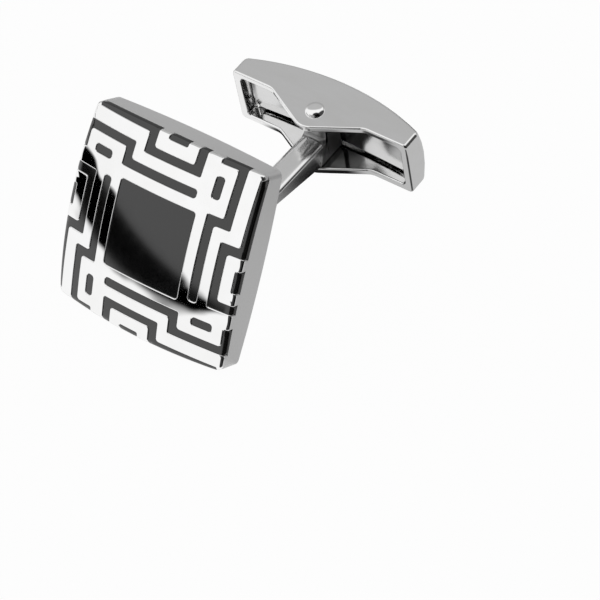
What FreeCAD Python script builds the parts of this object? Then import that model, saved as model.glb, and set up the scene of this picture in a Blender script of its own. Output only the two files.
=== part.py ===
import FreeCAD, Part
import math
import os

# A square cufflink with a swivelling toggle, in millimetres. The face looks along -Y and +Z is its top.
# The plane y = 0 is the back of the face plate, and the origin is the middle of that back.

# Face plate: a square with bowed sides and a front that is part of a sphere.
plate_width = 17.0
side_bow = 0.23
plate_corner_radius = 0.6
plate_thickness = 3.95
side_thickness = 3.08
front_edge_break = 0.18
back_edge_break = 0.15

# Cells of the key fret, sunk into the front, and the enamel that fills them.
cell_depth = 0.55
enamel_sink = 0.06
enamel_side_clearance = 0.01

# The fret: the half width of the centre square, and the widths of the enamel lines round it.
centre_half = 3.66
hook_line = 0.71
shelf_line = 0.67
key_line = 0.66
rim_line = 0.5
edge_line = 0.43
dash_line = 0.68

# Where the lines of one quarter begin and end, beside the sides of the centre square.
hook_overhang = 0.34
hook_shortfall = 0.39
key_left_shortfall = 1.38
key_right_shortfall = 0.49
key_drop_line = 0.74
edge_gap = 1.09
strip_from_corner = 0.6
shelf_set_in = 0.24
dash_set_in = 0.12

# Rounding of the fret's inner corners and line ends, seen from the front.
inner_corner = 0.3
line_end = 0.25

# The toggle's pivot, behind and above the middle of the plate's back, and the tilt of the toggle.
pivot_back = 18.14
pivot_up = 5.2
toggle_tilt = 34.82

# Toggle shell: length, width, walls, and levels measured from the pivot away from the face.
toggle_length = 17.9
toggle_width = 5.78
toggle_wall = 0.65
end_wall = 0.75
floor_wall = 0.85
end_lean = 0.06
rim_level = 0.3
spine_end_level = 2.13
spine_middle_level = 3.78
spine_crown = 0.5
spine_end_round = 0.4
side_edge_break = 0.18
rim_edge_break = 0.1
cavity_corner = 0.4
ear_reach = 4.75
ear_slope = 27.0
ear_tip_radius = 1.5
ear_root_radius = 0.6

# Rivet: shank and two domed heads.
pin_diameter = 1.2
head_diameter = 1.7
head_lip = 0.1
head_dome = 0.36
ear_bore_clearance = 0.01
eye_bore_clearance = 0.05

# Arm: width across, foot in the plate's back, and the side view of its neck and eye, from the pivot.
arm_width = 2.3
arm_edge_break = 0.2
bend_station = 4.55
foot_root = 1.5
foot_land = 0.05
foot_flange = 0.45
foot_braze = 0.5
foot_edge_break = 0.12
socket_depth = 0.4
socket_clearance = 0.02
waist_station = 8.0
waist_above = 0.66
waist_below = 0.81
neck_top_fall = 2.5
neck_fillet = 2.0
shoulder_slope = 65.0
eye_shoulder = 1.2
eye_heel = 1.5
eye_reach = 1.25
eye_corner = 0.4
eye_side_clearance = 0.08

# Leaf spring: a flat strip between the eye's end and the toggle's floor.
spring_thickness = 0.3
spring_side_clearance = 0.44
spring_corner = 0.8
spring_touch = 0.02

QUARTERS = ("top", "left", "bottom", "right")
X_AXIS = FreeCAD.Vector(1, 0, 0)
Y_AXIS = FreeCAD.Vector(0, 1, 0)
Z_AXIS = FreeCAD.Vector(0, 0, 1)
ORIGIN = FreeCAD.Vector(0, 0, 0)
TOLERANCE = 1e-4
SQUARE = ((-1, -1), (1, -1), (1, 1), (-1, 1))


def on_front(a, b):
    """A point of the plane square to Y: a to the right and b up."""
    return FreeCAD.Vector(a, 0, b)


def on_side(a, b):
    """A point of the plane square to X: a backwards and b up."""
    return FreeCAD.Vector(0, a, b)


def on_plan(a, b):
    """A point of the plane square to Z: a to the right and b backwards."""
    return FreeCAD.Vector(a, b, 0)


def near(a, b):
    return abs(a - b) < TOLERANCE


def edges_where(shape, test):
    """The edges of a shape whose ends and middle all pass a test."""
    found = []
    for edge in shape.Edges:
        middle = edge.valueAt((edge.FirstParameter + edge.LastParameter) / 2)
        if all(test(point) for point in [middle] + [end.Point for end in edge.Vertexes]):
            found.append(edge)
    return found


def rounded_wire(corners, place):
    """A closed wire through corners (a, b, radius), each one rounded as far as its two sides allow."""
    points = [FreeCAD.Vector(a, b, 0) for a, b, radius in corners]
    count = len(points)
    half_angles = []
    reaches = []
    for i in range(count):
        back = points[i - 1] - points[i]
        ahead = points[(i + 1) % count] - points[i]
        half_angles.append(back.getAngle(ahead) / 2)
        reaches.append(corners[i][2] / math.tan(half_angles[i]))
    room = []
    for i in range(count):
        length = points[i].distanceToPoint(points[(i + 1) % count])
        room.append(length / max(length, reaches[i] + reaches[(i + 1) % count]))
    arcs = []
    for i in range(count):
        share = min(room[i - 1], room[i])
        back = (points[i - 1] - points[i]).normalize()
        ahead = (points[(i + 1) % count] - points[i]).normalize()
        sag = share * corners[i][2] * (1 / math.sin(half_angles[i]) - 1)
        middle = points[i] + (back + ahead).normalize() * sag
        start = points[i] + back * (share * reaches[i])
        stop = points[i] + ahead * (share * reaches[i])
        arcs.append([place(p.x, p.y) for p in (start, middle, stop)])
    edges = []
    for i in range(count):
        start, middle, stop = arcs[i]
        if not near(corners[i][2], 0):
            edges.append(Part.Arc(start, middle, stop).toShape())
        following = arcs[(i + 1) % count][0]
        if not near(stop.distanceToPoint(following), 0):
            edges.append(Part.LineSegment(stop, following).toShape())
    return Part.Wire(edges)


def inset(corners, gap):
    """The same corners, counter-clockwise, with every side moved inwards by a gap."""
    moved = []
    count = len(corners)
    for i in range(count):
        a, b, radius = corners[i]
        before = corners[i - 1]
        after = corners[(i + 1) % count]
        arrive = FreeCAD.Vector(a - before[0], b - before[1], 0).normalize()
        leave = FreeCAD.Vector(after[0] - a, after[1] - b, 0).normalize()
        turn = arrive.cross(leave).z
        shift = (leave - arrive) * (gap / turn)
        eased = max(radius - math.copysign(gap, turn), 0) if radius > 0 else 0
        moved.append((a + shift.x, b + shift.y, eased))
    return moved


def turned(shape, quarter):
    """A copy of a shape of the top quarter, turned to another quarter of the face."""
    copy = shape.copy()
    copy.rotate(ORIGIN, Y_AXIS, -90 * quarter)
    return copy


def dome_radius():
    rise = plate_thickness - side_thickness
    return ((plate_width / 2) ** 2 + rise ** 2) / (2 * rise)


def dome_centre():
    return Y_AXIS * (dome_radius() - plate_thickness)


def dome(sink):
    """A ball whose surface lies a given depth below the front of the plate."""
    return Part.makeSphere(dome_radius() - sink, dome_centre())


def centre_cell():
    """The outline of the centre square."""
    return [(a * centre_half, b * centre_half, line_end) for a, b in SQUARE]


def quarter_cells():
    """The outlines of the cells above the centre square, by name, counter-clockwise from the front."""
    rim = plate_width / 2
    outside = plate_width
    metal_wall = (rim - centre_half - hook_line - key_line - rim_line) / 3
    bar_low = centre_half + metal_wall
    bar_high = bar_low + hook_line
    key_low = bar_high + metal_wall
    key_high = key_low + key_line
    strip_low = rim - rim_line
    shelf_low = key_low - shelf_set_in
    shelf_high = shelf_low + shelf_line
    dash_low = bar_low - dash_set_in
    hook_left = -centre_half - hook_overhang
    hook_right = centre_half - hook_shortfall
    key_left = key_left_shortfall - centre_half
    key_right = centre_half - key_right_shortfall
    hook = [
        (hook_right, bar_low, line_end),
        (hook_right, bar_high, line_end),
        (hook_left + hook_line, bar_high, inner_corner),
        (hook_left + hook_line, shelf_high, 0),
        (-outside, shelf_high, 0),
        (-outside, dash_low, 0),
        (-strip_low, dash_low, 0),
        (-strip_low, shelf_low, inner_corner),
        (hook_left, shelf_low, inner_corner),
        (hook_left, bar_low, 0),
    ]
    key = [
        (strip_from_corner - rim, outside, 0),
        (strip_from_corner - rim, strip_low, 0),
        (key_left, strip_low, inner_corner),
        (key_left, key_low, 0),
        (key_right, key_low, 0),
        (key_right, outside, 0),
        (key_right - key_drop_line, outside, 0),
        (key_right - key_drop_line, key_high, inner_corner),
        (key_left + key_drop_line, key_high, inner_corner),
        (key_left + key_drop_line, outside, 0),
    ]
    edge_left = key_left + key_drop_line + edge_gap
    edge_right = key_right - key_drop_line - edge_gap
    edge = [
        (edge_left, rim - edge_line, 0),
        (edge_right, rim - edge_line, 0),
        (edge_right, outside, 0),
        (edge_left, outside, 0),
    ]
    dash_left = metal_wall - strip_low
    dash_right = hook_left - metal_wall - shelf_set_in
    dash = [
        (dash_left, dash_low, line_end),
        (dash_right, dash_low, line_end),
        (dash_right, dash_low + dash_line, line_end),
        (dash_left, dash_low + dash_line, line_end),
    ]
    return {"hook": hook, "key": key, "edge": edge, "dash": dash}


def prism(corners):
    """A bar with a cell's outline, from the back of the plate to past its front."""
    face = Part.Face(rounded_wire(corners, on_front))
    return face.extrude(Y_AXIS * -2 * plate_thickness)


def plate_blank():
    """The plate before its cells are sunk: bowed sides, rounded corners, domed front and eased edges."""
    half = plate_width / 2
    corner = half - side_bow
    side = Part.Arc(on_front(-corner, corner), on_front(0, half), on_front(corner, corner)).toShape()
    outline = Part.Wire([turned(side, quarter) for quarter in range(4)])
    block = Part.Face(outline).extrude(Y_AXIS * -plate_thickness)
    uprights = edges_where(block, lambda p: near(abs(p.x), corner) and near(abs(p.z), corner))
    block = block.makeFillet(plate_corner_radius, uprights).common(dome(0))
    front = edges_where(block, lambda p: near(p.distanceToPoint(dome_centre()), dome_radius()))
    block = block.makeChamfer(front_edge_break, front)
    return block.makeChamfer(back_edge_break, edges_where(block, lambda p: near(p.y, 0)))


def foot_radius():
    """The foot reaches past the farthest corner of the braze round the arm's root."""
    mitre = foot_braze * math.tan(math.radians(22.5)) - arm_edge_break
    wide = math.hypot(arm_width / 2 + foot_braze, foot_root / 2 + mitre)
    tall = math.hypot(arm_width / 2 + mitre, foot_root / 2 + foot_braze)
    return max(wide, tall) + foot_land + foot_edge_break


def toggle_place():
    return FreeCAD.Placement(on_side(pivot_back, pivot_up), FreeCAD.Rotation(X_AXIS, toggle_tilt))


def from_pivot(away, across):
    """A point of the arm's side view, given from the pivot along and across the toggle's tilt."""
    return toggle_place().multVec(on_side(away, across))


def eye_half():
    return toggle_width / 2 - toggle_wall - eye_side_clearance


def heel_slope():
    """The slope of the arm's lower line, which runs from its waist to the eye's heel."""
    return math.radians(toggle_tilt) - math.atan((eye_half() - waist_below) / (waist_station - eye_heel))


def foot_level():
    """The height of the foot's middle, where the arm's lower line has come down at the bend."""
    waist = from_pivot(-waist_station, -waist_below)
    return waist.z - (waist.y - bend_station) * math.tan(heel_slope()) + foot_root / 2


def face_plate(blank, cells):
    """The blank with every cell sunk into its front and the socket for the arm's foot in its back."""
    cell_floor = dome(cell_depth)
    socket_radius = foot_radius() + socket_clearance
    socket = Part.makeCylinder(socket_radius, socket_depth, on_front(0, foot_level()), -Y_AXIS)
    return blank.cut([cell.cut(cell_floor) for cell in cells]).cut(socket)


def enamel(blank, corners):
    """The enamel of one cell: it lies on the cell's floor and stops just below the metal."""
    fill = prism(inset(corners, enamel_side_clearance)).common(blank)
    return fill.common(dome(enamel_sink)).cut(dome(cell_depth))


def at_toggle(shape):
    """Move a shape from the toggle's own frame, with X along it and Z along the rivet, to its place."""
    shape.Placement = toggle_place().multiply(shape.Placement)
    return shape


def spine_radius():
    rise = spine_middle_level - spine_end_level
    half_chord = toggle_length / 2 - end_lean
    return (half_chord ** 2 + rise ** 2) / (2 * rise)


def spine_centre():
    return Y_AXIS * (spine_middle_level - spine_radius())


def toggle_outside():
    """The toggle before it is hollowed: flat sides with ears, a back arched along and crowned across."""
    half_length = toggle_length / 2
    half_width = toggle_width / 2
    above = spine_middle_level + 2 * spine_crown
    lean = end_lean / (spine_end_level - rim_level)
    top_half = half_length - lean * (above - rim_level)
    ear_point = rim_level - ear_reach * math.tan(math.radians(ear_slope))
    side = rounded_wire(
        [
            (-half_length, rim_level, 0),
            (-ear_reach, rim_level, ear_root_radius),
            (0, ear_point, ear_tip_radius),
            (ear_reach, rim_level, ear_root_radius),
            (half_length, rim_level, 0),
            (top_half, above, 0),
            (-top_half, above, 0),
        ],
        on_plan,
    )
    slab = Part.Face(side).extrude(Z_AXIS * toggle_width)
    slab.translate(Z_AXIS * -half_width)
    crown = Part.Arc(
        on_side(spine_middle_level, -half_width),
        on_side(spine_middle_level + spine_crown, 0),
        on_side(spine_middle_level, half_width),
    ).toShape()
    low = spine_centre().y / 2
    low_line = [on_side(spine_middle_level, half_width), on_side(low, half_width)]
    low_line += [on_side(low, -half_width), on_side(spine_middle_level, -half_width)]
    section = Part.Wire([crown] + Part.makePolygon(low_line).Edges)
    ring = Part.Face(section).revolve(spine_centre(), Z_AXIS, 360)
    ring.rotate(spine_centre(), Z_AXIS, 180)
    body = slab.common(ring)

    def on_end(point):
        return near(abs(point.x), half_length - lean * (point.y - rim_level))

    tips = edges_where(body, lambda p: on_end(p) and p.y > spine_end_level - TOLERANCE)
    body = body.makeFillet(spine_end_round, [edge for edge in tips if edge.BoundBox.ZLength > half_width])
    sides = edges_where(body, lambda p: near(abs(p.z), half_width) and p.y > rim_level - TOLERANCE)
    sides = [edge for edge in sides if edge.BoundBox.YLength > TOLERANCE]
    return body.makeChamfer(side_edge_break, sides)


def toggle_shell():
    """The toggle hollowed towards the plate, down to an arched floor, and bored for the rivet."""
    half_length = toggle_length / 2 - end_wall
    half_width = toggle_width / 2 - toggle_wall
    mouth = rounded_wire([(a * half_length, b * half_width, cavity_corner) for a, b in SQUARE], on_front)
    cavity = Part.Face(mouth).extrude(Y_AXIS * 2 * toggle_length)
    cavity.translate(Y_AXIS * -toggle_length)
    below = spine_centre() - Z_AXIS * toggle_width
    cavity = cavity.common(Part.makeCylinder(spine_radius() - floor_wall, 2 * toggle_width, below))
    shell = toggle_outside().cut(cavity)
    rim = edges_where(shell, lambda p: p.y < rim_level + TOLERANCE)
    shell = shell.makeChamfer(rim_edge_break, rim)
    bore_radius = pin_diameter / 2 + ear_bore_clearance
    bore = Part.makeCylinder(bore_radius, 2 * toggle_width, Z_AXIS * -toggle_width)
    return at_toggle(shell.cut(bore))


def rivet_pin():
    """A rivet across the toggle, with a domed head on the outside of each ear."""
    shank = pin_diameter / 2
    head = head_diameter / 2
    seat = toggle_width / 2
    lip = seat + head_lip
    cap_radius = (head ** 2 + head_dome ** 2) / (2 * head_dome)
    half_angle = math.asin(head / cap_radius) / 2
    top = lip + head_dome
    bulge = on_front(cap_radius * math.sin(half_angle), top - cap_radius * (1 - math.cos(half_angle)))
    outline = [on_front(0, top), ORIGIN, on_front(shank, 0)]
    outline += [on_front(shank, seat), on_front(head, seat), on_front(head, lip)]
    cap = Part.Arc(outline[-1], bulge, outline[0]).toShape()
    half = Part.Face(Part.Wire(Part.makePolygon(outline).Edges + [cap])).revolve(ORIGIN, Z_AXIS, 360)
    return at_toggle(half.fuse(half.mirror(ORIGIN, Z_AXIS)).removeSplitter())


def arm_side():
    """The arm's side view: it leaves the plate square, bends up, and widens from a waist to the eye."""
    half = eye_half()
    low_level = foot_level() - foot_root / 2
    top_level = foot_level() + foot_root / 2
    straight = foot_flange + foot_braze + foot_land
    fall = math.tan(math.radians(neck_top_fall))
    climb = math.tan(math.radians(shoulder_slope))
    neck_away = (waist_above - waist_station * fall - half - eye_shoulder * climb) / (climb + fall)
    neck_across = waist_above - (waist_station + neck_away) * fall
    shoulder = math.hypot(eye_shoulder + neck_away, half - neck_across)
    shoulder_turn = math.radians(shoulder_slope + neck_top_fall)
    neck_radius = min(neck_fillet, (shoulder - 2 * arm_edge_break) / math.tan(shoulder_turn / 2))
    top_slope = math.radians(toggle_tilt - neck_top_fall)
    waist = from_pivot(-waist_station, waist_above)
    top_bend = waist.y + (top_level - waist.z) / math.tan(top_slope)

    def corner(away, across, radius):
        point = from_pivot(away, across)
        return (point.y, point.z, radius)

    return rounded_wire(
        [
            (0, low_level, 0),
            (bend_station, low_level, (bend_station - straight) / math.tan(heel_slope() / 2)),
            corner(-eye_heel, -half, neck_fillet),
            corner(eye_reach, -half, 0),
            corner(eye_reach, half, 0),
            corner(-eye_shoulder, half, 0),
            corner(neck_away, neck_across, neck_radius),
            (top_bend, top_level, (top_bend - straight) / math.tan(top_slope / 2)),
            (0, top_level, 0),
        ],
        on_side,
    )


def arm():
    """A curved arm with a round flanged foot in the plate's back and a square eye on the rivet."""
    half_width = arm_width / 2
    body = Part.Face(arm_side()).extrude(X_AXIS * arm_width)
    body.translate(X_AXIS * -half_width)
    to_toggle = toggle_place().inverse()

    def on_eye_end(point):
        return near(to_toggle.multVec(point).y, eye_reach) and near(abs(point.x), half_width)

    body = body.makeFillet(eye_corner, edges_where(body, on_eye_end))

    def on_long_edge(point):
        inside = to_toggle.multVec(point)
        before_end = inside.y < eye_reach - eye_corner - TOLERANCE
        return near(abs(point.x), half_width) and (before_end or near(abs(inside.z), eye_half()))

    long_edges = [edge for edge in edges_where(body, on_long_edge) if edge.BoundBox.YMax > TOLERANCE]
    body = body.makeChamfer(arm_edge_break, long_edges)
    base = on_front(0, foot_level())
    flange_height = socket_depth + foot_flange
    flange = Part.makeCylinder(foot_radius(), flange_height, base - Y_AXIS * socket_depth, Y_AXIS)
    body = body.fuse(flange).removeSplitter()
    flange_top = base + Y_AXIS * foot_flange

    def on_rim(point):
        return near(point.y, foot_flange) and near(point.distanceToPoint(flange_top), foot_radius())

    def on_root(point):
        return near(point.y, foot_flange) and point.distanceToPoint(flange_top) < foot_radius() - TOLERANCE

    body = body.makeChamfer(foot_braze, edges_where(body, on_root))
    body = body.makeChamfer(foot_edge_break, edges_where(body, on_rim))
    bore_radius = pin_diameter / 2 + eye_bore_clearance
    return body.cut(at_toggle(Part.makeCylinder(bore_radius, 2 * toggle_width, Z_AXIS * -toggle_width)))


def leaf_spring():
    """A flat strip: its middle lies on the eye's end and its ends reach the toggle's arched floor."""
    inner = eye_reach + spring_touch
    floor_radius = spine_radius() - floor_wall
    end_level = inner + spring_thickness + spring_touch - spine_centre().y
    half_length = math.sqrt(floor_radius ** 2 - end_level ** 2)
    half_width = toggle_width / 2 - toggle_wall - spring_side_clearance
    plan = rounded_wire([(a * half_length, b * half_width, spring_corner) for a, b in SQUARE], on_front)
    strip = Part.Face(plan).extrude(Y_AXIS * spring_thickness)
    strip.translate(Y_AXIS * inner)
    return at_toggle(strip)


os.makedirs("parts", exist_ok=True)
blank = plate_blank()
cells = [prism(centre_cell())]
nodes = {"inlay_centre": enamel(blank, centre_cell())}
for cell_name, outline in quarter_cells().items():
    for quarter, place in enumerate(QUARTERS):
        cells.append(turned(prism(outline), quarter))
        nodes["inlay_" + cell_name + "_" + place] = turned(enamel(blank, outline), quarter)
nodes["face_plate"] = face_plate(blank, cells)
nodes["arm"] = arm()
nodes["toggle_shell"] = toggle_shell()
nodes["rivet_pin"] = rivet_pin()
nodes["leaf_spring"] = leaf_spring()
for name, shape in nodes.items():
    print(name, "valid" if shape.isValid() else "invalid", len(shape.Solids), round(shape.Volume, 3))
    shape.exportStep("parts/" + name + ".step")
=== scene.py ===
import math
import bmesh
import bpy
from mathutils import Matrix, Quaternion, Vector
from mathutils.geometry import delaunay_2d_cdt


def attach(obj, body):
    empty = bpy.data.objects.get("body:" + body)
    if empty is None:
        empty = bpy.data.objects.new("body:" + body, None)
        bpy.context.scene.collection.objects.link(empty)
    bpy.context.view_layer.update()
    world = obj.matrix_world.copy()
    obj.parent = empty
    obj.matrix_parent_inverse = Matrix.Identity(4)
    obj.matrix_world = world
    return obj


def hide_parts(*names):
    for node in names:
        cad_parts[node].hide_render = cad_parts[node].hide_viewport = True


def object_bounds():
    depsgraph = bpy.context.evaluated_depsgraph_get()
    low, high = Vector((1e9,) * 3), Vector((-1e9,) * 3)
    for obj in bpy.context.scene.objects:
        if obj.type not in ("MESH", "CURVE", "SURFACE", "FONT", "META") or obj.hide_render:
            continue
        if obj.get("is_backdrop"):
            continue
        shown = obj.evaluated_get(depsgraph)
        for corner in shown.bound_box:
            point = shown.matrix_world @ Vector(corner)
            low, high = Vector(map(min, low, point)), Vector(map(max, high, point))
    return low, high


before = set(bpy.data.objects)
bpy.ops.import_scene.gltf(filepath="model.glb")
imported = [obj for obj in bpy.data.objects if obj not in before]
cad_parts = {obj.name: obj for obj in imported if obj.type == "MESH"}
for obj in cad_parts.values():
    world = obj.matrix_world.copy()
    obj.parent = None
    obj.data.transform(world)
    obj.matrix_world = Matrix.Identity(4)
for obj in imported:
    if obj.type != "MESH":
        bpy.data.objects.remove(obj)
cad_low, cad_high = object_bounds()


# Face plate: a square of cast brass with bowed sides and a domed front, plated with rhodium.
# The fret's cells are sunk into the front, which is buffed to a mirror between them. The sides
# and the flat back keep a satin finish, and the arm's foot is brazed into a socket in the back.

MM = 0.001
FACE_HALF = 8.497
SIDE_BOW = 0.23
CORNER_RADIUS = 0.6
FRONT_THICKNESS = 3.95
SIDE_THICKNESS = 3.08
DOME_RISE = FRONT_THICKNESS - SIDE_THICKNESS
DOME_RADIUS = (FACE_HALF ** 2 + DOME_RISE ** 2) / (2 * DOME_RISE)
CELL_DEPTH = 0.55
METAL_EDGE = 0.09
RIM_EDGE = 0.26
RIM_DROP = 0.2
BACK_EDGE = 0.15
SOCKET_RADIUS = 2.0
SOCKET_DEPTH = 0.4
FOOT_LEVEL = -2.4736
RIM_ROOM = 1.0
CORNER_STEPS = 8
SIDE_STEPS = 36
EDGE_STEPS = 5
SMALL_EDGE_STEPS = 4
ROUND_STEPS = 48
FRONT_GRID = 0.6
BACK_GRID = 1.2
HIDDEN_GRID = 1.4
MICRON = 0.001
NO_LENGTH = 1e-6
WHOLE_HULL, WITHIN_BORDERS = 0, 1


class Skin:
    """The skin of a piece in the making: points in millimetres, the true normal at each, and faces."""

    def __init__(self):
        self.points = []
        self.normals = []
        self.faces = []
        self.finishes = []

    def point(self, place, normal):
        self.points.append(Vector(place))
        self.normals.append(Vector(normal).normalized())
        return len(self.points) - 1

    def ring(self, places, normals):
        """Points in a row, of which neighbours less than a micron apart share one place."""
        spots = [Vector(place) for place in places]
        for i in range(len(spots)):
            if (spots[i] - spots[i - 1]).length < MICRON:
                spots[i] = spots[i - 1]
        return [self.point(spot, normal) for spot, normal in zip(spots, normals)]

    def lay(self, patches, finish=0):
        """Faces that join each other, all wound so that they look the way their points' normals do."""
        looks = 0
        for corners in patches:
            spots = [self.points[i] - self.points[corners[0]] for i in corners]
            facing = sum((spots[i - 1].cross(spots[i]) for i in range(len(spots))), Vector())
            looks += facing.dot(sum((self.normals[i] for i in corners), Vector()))
        for corners in patches:
            kept = [c for i, c in enumerate(corners)
                    if (self.points[c] - self.points[corners[i - 1]]).length > NO_LENGTH]
            if len(kept) > 2:
                self.faces.append(kept if looks > 0 else kept[::-1])
                self.finishes.append(finish)

    def face(self, corners, finish=0):
        self.lay([corners], finish)

    def band(self, rings, finish=0):
        """Faces between closed rings with as many points, which share a place where they meet."""
        patches = []
        for ring, following in zip(rings, rings[1:]):
            for i, j in zip(ring, following):
                if (self.points[i] - self.points[j]).length < MICRON:
                    self.points[j] = self.points[i]
            turns = [(i, (i + 1) % len(ring)) for i in range(len(ring))]
            patches += [[ring[i], ring[j], following[j], following[i]] for i, j in turns]
        self.lay(patches, finish)

    def cover(self, rings, plans, place, spacing, finish=0):
        """Faces over the ground that rings enclose in plan, on an even grid of points put in place."""
        flat = [point for plan in plans for point in plan]
        known = [index for ring in rings for index in ring]
        edges = []
        for plan in plans:
            first = len(edges)
            edges += [(first + i, first + (i + 1) % len(plan)) for i in range(len(plan))]
        low = [min(p[k] for p in flat) for k in (0, 1)]
        high = [max(p[k] for p in flat) for k in (0, 1)]
        steps = [max(1, round((high[k] - low[k]) / spacing)) for k in (0, 1)]
        for i in range(1, steps[0]):
            for j in range(1, steps[1]):
                p = (low[0] + (high[0] - low[0]) * i / steps[0], low[1] + (high[1] - low[1]) * j / steps[1])
                nearest = min((p[0] - q[0]) ** 2 + (p[1] - q[1]) ** 2 for q in flat[:len(known)])
                if nearest > (0.5 * spacing) ** 2 and inside(p, plans):
                    flat.append(p)
        out, _, triangles, origins, _, _ = delaunay_2d_cdt(
            [Vector(p) for p in flat], edges, [], WITHIN_BORDERS, NO_LENGTH)
        index = []
        for spot, origin in zip(out, origins):
            if origin and origin[0] < len(known):
                index.append(known[origin[0]])
            else:
                index.append(self.point(*place(spot.x, spot.y)))
        if len(plans) > 1:
            triangles = [t for t in triangles if inside(sum((out[i] for i in t), Vector((0, 0))) / 3, plans)]
        self.lay([[index[i] for i in triangle] for triangle in triangles], finish)

    def build(self, name, materials, turn=None):
        """The finished object, in metres, with triangles paired to quads and the true normals kept."""
        mesh = bpy.data.meshes.new(name)
        mesh.from_pydata([p * MM for p in self.points], [], self.faces)
        mesh.polygons.foreach_set("material_index", self.finishes)
        work = bmesh.new()
        work.from_mesh(mesh)
        triangles = [face for face in work.faces if len(face.verts) == 3]
        bmesh.ops.join_triangles(work, faces=triangles, cmp_materials=True,
                                 angle_face_threshold=0.6, angle_shape_threshold=1.2)
        work.to_mesh(mesh)
        work.free()
        normals = self.normals
        if turn:
            mesh.transform(turn)
            normals = [turn.to_3x3() @ normal for normal in normals]
        mesh.polygons.foreach_set("use_smooth", [True] * len(mesh.polygons))
        mesh.normals_split_custom_set_from_vertices(normals)
        for material in materials:
            mesh.materials.append(material)
        piece = bpy.data.objects.new(name, mesh)
        bpy.context.scene.collection.objects.link(piece)
        return piece


def inside(point, loops):
    """Whether a point of a plan lies inside loops, of which one within another is a hole."""
    odd = False
    x, y = point[0], point[1]
    for loop in loops:
        ax, ay = loop[-1]
        for bx, by in loop:
            if (ay > y) != (by > y) and x < ax + (y - ay) * (bx - ax) / (by - ay):
                odd = not odd
            ax, ay = bx, by
    return odd


def rounded(corners, spacing=0.45, turn_step=math.radians(16)):
    """A closed loop through corners (a, b, radius): arcs at the corners, sides in steps of a spacing."""
    loop = []
    count = len(corners)
    for i in range(count):
        here = Vector(corners[i][:2])
        back = Vector(corners[i - 1][:2]) - here
        ahead = Vector(corners[(i + 1) % count][:2]) - here
        half = back.angle(ahead) / 2
        reach = min(corners[i][2] / math.tan(half), 0.5 * back.length, 0.5 * ahead.length)
        radius = reach * math.tan(half)
        start = here + back.normalized() * reach
        stop = here + ahead.normalized() * reach
        if loop:
            loop += stretch(loop[-1], start, spacing)
        if radius < NO_LENGTH:
            loop.append(here)
            continue
        middle = here + (back.normalized() + ahead.normalized()).normalized() * (radius / math.sin(half))
        sweep = math.pi - 2 * half
        steps = max(2, math.ceil(sweep / turn_step))
        for k in range(steps + 1):
            part = k / steps
            bow = (start - middle) * math.sin((1 - part) * sweep) + (stop - middle) * math.sin(part * sweep)
            loop.append(middle + bow / math.sin(sweep))
    loop += stretch(loop[-1], loop[0], spacing)
    return [(p.x, p.y) for p in loop]


def stretch(start, stop, spacing):
    """The points that divide a straight stretch, without its ends."""
    steps = max(1, math.ceil((stop - start).length / spacing))
    return [start.lerp(stop, k / steps) for k in range(1, steps)]


def borders(loop):
    """For each point of a loop, the step that keeps sides parallel, to the left, where the inside is."""
    steps = []
    count = len(loop)
    for i in range(count):
        here = Vector(loop[i])
        before = (here - Vector(loop[i - 1])).normalized()
        after = (Vector(loop[(i + 1) % count]) - here).normalized()
        left = Vector((-before.y, before.x)) + Vector((-after.y, after.x))
        steps.append(left / (1 + before.dot(after)))
    return steps


def outwards(loop):
    return [Vector((-s.x, 0, -s.y)).normalized() for s in borders(loop)]


def moved(loop, distance):
    return [(p[0] + s.x * distance, p[1] + s.y * distance) for p, s in zip(loop, borders(loop))]


def face_outline():
    """The plan of the face plate, counter-clockwise from the front: bowed sides and round corners."""
    corner = FACE_HALF - SIDE_BOW
    bow_radius = (corner ** 2 + SIDE_BOW ** 2) / (2 * SIDE_BOW)
    drop = bow_radius - FACE_HALF
    inner = bow_radius - CORNER_RADIUS
    centre = (math.sqrt(2 * inner ** 2 - drop ** 2) - drop) / 2
    lean = math.atan2(centre + drop, centre)
    quarter = []
    for k in range(CORNER_STEPS + 1):
        angle = math.pi / 2 - lean + (2 * lean - math.pi / 2) * k / CORNER_STEPS
        x, z = centre + CORNER_RADIUS * math.cos(angle), centre + CORNER_RADIUS * math.sin(angle)
        quarter.append(Vector((x, z)))
    for k in range(1, SIDE_STEPS):
        angle = lean + (math.pi - 2 * lean) * k / SIDE_STEPS
        quarter.append(Vector((bow_radius * math.cos(angle), bow_radius * math.sin(angle) - drop)))
    loop = []
    for turn in range(4):
        loop += [Matrix.Rotation(turn * math.pi / 2, 2) @ p for p in quarter]
    return [(p.x, p.y) for p in loop]


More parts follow.
